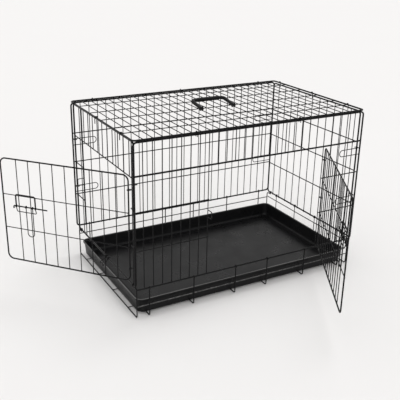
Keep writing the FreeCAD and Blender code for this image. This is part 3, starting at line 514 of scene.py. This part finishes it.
def make_tray():
    """Thin-walled pan with a rolled rim and a raised floor panel, as large as the CAD tray."""
    low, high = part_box("tray")
    half_x = (high.x - low.x) / 2
    half_y = (high.y - low.y) / 2
    middle = (low + high) / 2
    mesh = bmesh.new()
    inside, outside = tray_profile(low.z, high.z)

    def loops_of(profile):
        """Rounded-rectangle loops of vertices, one for each point of the profile."""
        made = []
        for inset, height, floor_share, rim_share in profile:
            radius = RIM_CORNER - min(inset, 0.005) - 0.35 * max(0.0, inset - WALL_START)
            loop = []
            for x, y in rounded_loop(half_x - inset, half_y - inset, radius):
                z = height + settle(x, y, floor_share, rim_share)
                loop.append(mesh.verts.new((middle.x + x, middle.y + y, z)))
            made.append(loop)
        return made

    def skin(loops, flip):
        """Quads between each loop and the next."""
        for low_loop, high_loop in zip(loops, loops[1:]):
            count = len(low_loop)
            for number in range(count):
                after = (number + 1) % count
                near = [low_loop[number], low_loop[after]]
                corners = near + [high_loop[after], high_loop[number]]
                mesh.faces.new(reversed(corners) if flip else corners)

    inner = loops_of(inside)
    outer = loops_of(outside)
    skin(inner, False)
    skin(outer, True)
    skin([outer[0], inner[0]], False)
    mesh.faces.new(inner[-1])
    mesh.faces.new(list(reversed(outer[-1])))
    bmesh.ops.recalc_face_normals(mesh, faces=mesh.faces)
    data = bpy.data.meshes.new("tray_pan")
    mesh.to_mesh(data)
    mesh.free()
    piece = add_piece("tray_pan", data, TRAY, "tray")
    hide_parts("tray")


make_tray()


# ---- carry handle -------------------------------------------------------------------------------
# Heights are half heights along the lid's normal, and widths are half widths across the section.
HANDLE_TILT = math.radians(10.0)  # the handle rests this far above the lid
HANDLE_HALF = 0.06733  # from the middle to an arm
HANDLE_REACH = 0.075  # from the lid's wire to the grip
HANDLE_BEND = 0.014
ARM_STEPS = 12
ARM_ROOT = 0.0012  # the arms start this far from the wire's middle, inside the hubs
ARM_HEIGHT = 0.0058
ARM_SWELL = 0.0004
BEND_STEPS = 10
BEND_HEIGHT = 0.0062
BEND_WIDTH = 0.0066
GRIP_STEPS = 64
GRIP_HEIGHT_GAIN = 0.0012
GRIP_WIDTH_GAIN = 0.0010
SHOULDER_START = 0.0055  # from the bend to where the grip starts to thicken
SHOULDER_LENGTH = 0.0045
RIDGE_HEIGHT = 0.00032
RIDGE_SPACING = 0.0066
RIDGE_START = 0.99  # share of the grip's full thickness from which it is ribbed
HUB_RADIUS = 0.0079
HUB_END_RADIUS = 0.0068
HUB_HALF = 0.0064
HUB_CHAMFER = 0.0009
HUB_WAIST = 0.0022  # half the length of the shallow waist
HUB_BORE = 0.00157
SECTION_SIDES = 28
SQUARENESS = 2.6  # 2 is an oval section, and more is squarer
SEAM = 0.00022  # the mould's parting line stands out this far


def handle_path():
    """(place, direction, half height, half width) of the sections along arms and grip."""
    along_x = Vector((1.0, 0.0, 0.0))
    along_y = Vector((0.0, 1.0, 0.0))
    stations = []
    bend_y = HANDLE_REACH - HANDLE_BEND
    for step in range(ARM_STEPS + 1):
        share = step / ARM_STEPS
        y = ARM_ROOT + (bend_y - ARM_ROOT) * share
        height = ARM_HEIGHT + ARM_SWELL * math.cos(math.tau * share)
        stations.append((Vector((-HANDLE_HALF, y, 0.0)), along_y, height, BEND_WIDTH))
    for step in range(1, BEND_STEPS + 1):
        angle = math.radians(90.0 * step / BEND_STEPS)
        place = Vector((-HANDLE_HALF + HANDLE_BEND * (1.0 - math.cos(angle)),
                        bend_y + HANDLE_BEND * math.sin(angle), 0.0))
        heading = Vector((math.sin(angle), math.cos(angle), 0.0))
        stations.append((place, heading, BEND_HEIGHT, BEND_WIDTH))
    side_count = len(stations)
    grip_half = HANDLE_HALF - HANDLE_BEND
    for step in range(1, GRIP_STEPS):
        x = -grip_half + 2.0 * grip_half * step / GRIP_STEPS
        rise = min(1.0, max(0.0, (grip_half - abs(x) - SHOULDER_START) / SHOULDER_LENGTH))
        rise = rise * rise * (3.0 - 2.0 * rise)
        ridge = 0.0
        if rise > RIDGE_START:
            ridge = RIDGE_HEIGHT * math.cos(math.tau * x / RIDGE_SPACING)
        height = BEND_HEIGHT + GRIP_HEIGHT_GAIN * rise + ridge
        width = BEND_WIDTH + GRIP_WIDTH_GAIN * rise + ridge
        stations.append((Vector((x, HANDLE_REACH, 0.0)), along_x, height, width))
    for place, heading, height, width in reversed(stations[:side_count]):
        mirrored = Vector((-place.x, place.y, 0.0))
        stations.append((mirrored, Vector((heading.x, -heading.y, 0.0)), height, width))
    return stations


def make_handle():
    """Moulded U-shaped handle: squarish oval section with a parting line, on two hubs."""
    pivot = Matrix.Translation(JOINTS["carry_handle_swing"]["pos_m"])
    pose = pivot @ Matrix.Rotation(HANDLE_TILT, 4, "X")
    mesh = bmesh.new()
    up = Vector((0.0, 0.0, 1.0))
    loops = []
    for place, heading, tall, wide in handle_path():
        across = heading.cross(up)
        loop = []
        for side in range(SECTION_SIDES):
            angle = math.tau * side / SECTION_SIDES
            cosine, sine = math.cos(angle), math.sin(angle)
            square = (abs(cosine) ** SQUARENESS + abs(sine) ** SQUARENESS) ** (-1.0 / SQUARENESS)
            seam = SEAM if side % (SECTION_SIDES // 2) == 0 else 0.0
            offset = across * (cosine * (wide * square + seam)) + up * (sine * tall * square)
            loop.append(mesh.verts.new(pose @ (place + offset)))
        loops.append(loop)
    for low_loop, high_loop in zip(loops, loops[1:]):
        for side in range(SECTION_SIDES):
            after = (side + 1) % SECTION_SIDES
            near = (low_loop[side], low_loop[after])
            mesh.faces.new((*near, high_loop[after], high_loop[side]))
    mesh.faces.new(loops[0])
    mesh.faces.new(list(reversed(loops[-1])))
    for sign in (-1.0, 1.0):
        add_hub(mesh, pose, sign * HANDLE_HALF)
    bmesh.ops.recalc_face_normals(mesh, faces=mesh.faces)
    data = bpy.data.meshes.new("carry_handle_moulding")
    mesh.to_mesh(data)
    mesh.free()
    piece = add_piece("carry_handle_moulding", data, HANDLE, "carry_handle")
    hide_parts("carry_handle")


def add_hub(mesh, pose, centre_x):
    """Barrel round the lid's wire: chamfered ends, a shallow waist and a clear bore."""
    half = [(HUB_WAIST, HUB_RADIUS - 0.0001), (HUB_HALF - HUB_CHAMFER, HUB_RADIUS),
            (HUB_HALF, HUB_END_RADIUS), (HUB_HALF, HUB_BORE)]
    profile = [(-x, radius) for x, radius in reversed(half)] + [(0.0, HUB_RADIUS - 0.0004)] + half
    rings = []
    for x, radius in profile:
        ring = []
        for side in range(SECTION_SIDES):
            angle = math.tau * side / SECTION_SIDES
            point = Vector((centre_x + x, radius * math.cos(angle), radius * math.sin(angle)))
            ring.append(mesh.verts.new(pose @ point))
        rings.append(ring)
    for first, second in zip(rings, rings[1:] + rings[:1]):
        for side in range(SECTION_SIDES):
            after = (side + 1) % SECTION_SIDES
            mesh.faces.new((first[side], first[after], second[after], second[side]))


make_handle()


# ---- stage, light and camera --------------------------------------------------------------------
def stage_material():
    """Pale seamless paper."""
    material, tree, shader, coordinates = new_material("paper_floor")
    clouds = noise(tree, coordinates, 1.3, 3.0)
    tone = two_tones(tree, clouds, (0.800, 0.793, 0.789), (0.806, 0.799, 0.795))
    tree.links.new(tone, shader.inputs["Base Color"])
    shader.inputs["Roughness"].default_value = 0.9
    shader.inputs["Specular IOR Level"].default_value = 0.1
    return material


FLOOR_REACH = 300.0


def make_floor():
    """Square of paper, so wide that its edge doesn't show."""
    floor_mesh = bpy.data.meshes.new("floor")
    signs = ((-1, -1), (1, -1), (1, 1), (-1, 1))
    corners = [(sign_x * FLOOR_REACH, sign_y * FLOOR_REACH, 0.0) for sign_x, sign_y in signs]
    floor_mesh.from_pydata(corners, [], [(0, 1, 2, 3)])
    floor_mesh.materials.append(stage_material())
    floor = bpy.data.objects.new("floor", floor_mesh)
    bpy.context.scene.collection.objects.link(floor)


def sun_light(name, heading, spread_angle, power):
    """Broad distant light; heading points from the light to the crate."""
    light = bpy.data.lights.new(name, "SUN")
    light.angle = math.radians(spread_angle)
    light.energy = power
    lamp = bpy.data.objects.new(name, light)
    bpy.context.scene.collection.objects.link(lamp)
    lamp.rotation_euler = Vector(heading).to_track_quat("-Z", "Y").to_euler()


def make_world():
    """Even surroundings, about as bright as the lit paper."""
    world = bpy.data.worlds.new("studio")
    world.use_nodes = True
    background = world.node_tree.nodes["Background"]
    background.inputs["Color"].default_value = (1.0, 0.992, 0.985, 1.0)
    background.inputs["Strength"].default_value = 0.935
    bpy.context.scene.world = world


CAMERA_PLACE = Vector((-1.2247, -2.0579, 1.1984))
CAMERA_AZIMUTH = math.radians(-29.517)
CAMERA_ELEVATION = math.radians(21.657)
CAMERA_ROLL = math.radians(1.146)
CAMERA_LENS = 60.23  # millimetres, on a 36 mm wide sensor


def make_camera():
    """Camera at the photographer's place; back points from the crate to the camera."""
    data = bpy.data.cameras.new("camera")
    data.lens = CAMERA_LENS
    data.sensor_width = 36.0
    data.clip_start = 0.02
    data.clip_end = 60.0
    camera = bpy.data.objects.new("camera", data)
    bpy.context.scene.collection.objects.link(camera)
    level = math.cos(CAMERA_ELEVATION)
    across, away = math.cos(CAMERA_AZIMUTH), math.sin(CAMERA_AZIMUTH)
    back = Vector((away * level, -across * level, math.sin(CAMERA_ELEVATION)))
    right = Vector((across, away, 0.0))
    up = back.cross(right)
    turned = right * math.cos(CAMERA_ROLL) + up * math.sin(CAMERA_ROLL)
    upright = back.cross(turned)
    axes = Matrix((turned, upright, back)).transposed().to_4x4()
    axes.translation = CAMERA_PLACE
    camera.matrix_world = axes
    bpy.context.scene.camera = camera


make_floor()
make_world()
sun_light("key", (-0.55, -0.25, -1.4), 22.0, 0.54)
sun_light("front", (0.55, 1.0, -0.8), 14.0, 0.42)
make_camera()
bpy.context.scene.view_settings.view_transform = "Standard"
